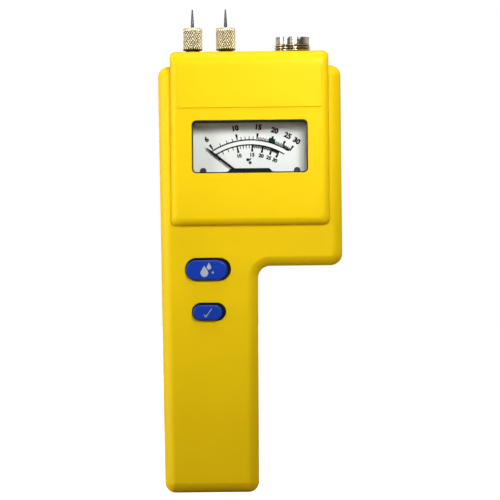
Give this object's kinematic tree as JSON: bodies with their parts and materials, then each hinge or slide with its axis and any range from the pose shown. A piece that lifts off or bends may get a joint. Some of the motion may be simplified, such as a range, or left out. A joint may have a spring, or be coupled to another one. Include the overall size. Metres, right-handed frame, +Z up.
{
  "type": "moisture meter",
  "caption": "Hand-held pin-type moisture meter with an analogue dial, press buttons, two contact pins under knurled caps and a threaded probe socket.",
  "frame": {"origin": "under the middle of the overall box, on the foot of the handle", "axes": "+Z up along the contact pins, the dial and buttons face -Y, +X to the right of the dial"},
  "size_m": [0.08, 0.04, 0.2123],
  "materials": {
    "case_plastic": "satin moulded plastic",
    "black_screw": "black oxide",
    "steel_pin": "satin",
    "foam": "matte",
    "battery_jacket": "printed metal jacket",
    "plated_terminal": "satin",
    "black_plastic": "satin",
    "red_lead": "satin",
    "black_lead": "satin",
    "white_lead": "satin",
    "circuit_board": "satin",
    "zinc_screw": "satin",
    "chip_plastic": "matte",
    "resistor": "satin",
    "capacitor": "satin",
    "trimmer": "satin",
    "white_plastic": "satin",
    "blue_plastic": "satin",
    "clear_window": "polished clear",
    "brass": "satin",
    "dial_paint": "white painted",
    "dark_screw": "satin",
    "dark_metal": "black painted",
    "pointer_paint": "black painted",
    "copper": "enamelled copper winding",
    "magnet": "satin",
    "soft_iron": "satin",
    "bridge_metal": "satin",
    "bronze": "polished",
    "plated_brass": "knurled and plated",
    "fibre": "matte",
    "nickel": "nickel plated"
  },
  "bodies": {
    "case": {"front_case": "case_plastic", "rear_case": "case_plastic", "case_screws": "black_screw", "door_hinge_pin": "steel_pin", "battery": "battery_jacket", "battery_terminals": "plated_terminal", "battery_snap": "black_plastic", "battery_lead_red": "red_lead", "battery_lead_black": "black_lead", "main_board": "circuit_board", "board_screws": "zinc_screw", "board_chip": "chip_plastic", "board_resistors": "resistor", "board_capacitors": "capacitor", "trim_pot": "trimmer", "measure_switch": "black_plastic", "check_switch": "black_plastic", "meter_window": "clear_window", "meter_base": "black_plastic", "meter_screws": "zinc_screw", "meter_studs": "brass", "meter_nuts": "brass", "dial_plate": "dial_paint", "dial_screws": "dark_screw", "pointer_mask": "dark_metal", "core_magnet": "magnet", "yoke_ring": "soft_iron", "front_bridge": "bridge_metal", "rear_bridge": "bridge_metal", "jewel_screws": "brass", "movement_screws": "zinc_screw", "front_hairspring": "bronze", "rear_hairspring": "bronze", "pin_studs": "brass", "pin_insulators": "black_plastic", "stud_washers": "fibre", "stud_nuts": "zinc_screw", "socket_shell": "nickel", "socket_insulator": "white_plastic", "socket_contact": "plated_terminal", "socket_screws": "zinc_screw", "meter_lead_red": "red_lead", "meter_lead_black": "black_lead", "pin_leads": "white_lead", "socket_leads": "white_lead"},
    "door": {"battery_door": "case_plastic", "door_pad": "foam"},
    "measure_key": {"measure_button": "blue_plastic", "measure_plunger": "white_plastic"},
    "check_key": {"check_button": "blue_plastic", "check_plunger": "white_plastic"},
    "trimmer": {"trim_rotor": "white_plastic"},
    "needle": {"pointer": "pointer_paint", "pointer_staff": "steel_pin", "moving_coil": "copper"},
    "left_needle_pin": {"left_pin": "steel_pin"},
    "right_needle_pin": {"right_pin": "steel_pin"},
    "left_cap": {"left_pin_cap": "plated_brass"},
    "right_cap": {"right_pin_cap": "plated_brass"}
  },
  "joints": [
    {"name": "measure_button_press", "type": "slide", "parent": "case", "child": "measure_key", "axis": [0, 1, 0], "range_m": [0, 0.001], "stiffness_N_per_m": 900},
    {"name": "check_button_press", "type": "slide", "parent": "case", "child": "check_key", "axis": [0, 1, 0], "range_m": [0, 0.001], "stiffness_N_per_m": 900},
    {"name": "needle_swing", "type": "hinge", "parent": "case", "child": "needle", "pos_m": [0, -0.0045, 0.136], "axis": [0, 1, 0], "range_deg": [0, 102], "stiffness_Nm_per_rad": 0.00002, "deforming": ["front_hairspring", "rear_hairspring"]},
    {"name": "battery_door_open", "type": "hinge", "parent": "case", "child": "door", "pos_m": [-0.01805, 0.0189, 0.0136], "axis": [-1, 0, 0], "range_deg": [0, 95]},
    {"name": "trimmer_turn", "type": "hinge", "parent": "case", "child": "trimmer", "pos_m": [-0.01, 0.001, 0.1065], "axis": [0, 1, 0], "range_deg": [-130, 130]},
    {"name": "left_pin_lift", "type": "slide", "parent": "case", "child": "left_needle_pin", "axis": [0, 0, 1], "range_m": [0, 0.00714]},
    {"name": "left_cap_turn", "type": "hinge", "parent": "left_needle_pin", "child": "left_cap", "pos_m": [-0.0248, -0.0015, 0.199], "axis": [0, 0, 1], "range_deg": [0, 3240]},
    {"name": "right_pin_lift", "type": "slide", "parent": "case", "child": "right_needle_pin", "axis": [0, 0, 1], "range_m": [0, 0.00714]},
    {"name": "right_cap_turn", "type": "hinge", "parent": "right_needle_pin", "child": "right_cap", "pos_m": [-0.0102, -0.0015, 0.199], "axis": [0, 0, 1], "range_deg": [0, 3240]}
  ],
  "couplings": [
    {"joint": "left_cap_turn", "follows": "left_pin_lift", "rad_per_m": 7913.3},
    {"joint": "right_cap_turn", "follows": "right_pin_lift", "rad_per_m": 7913.3}
  ]
}
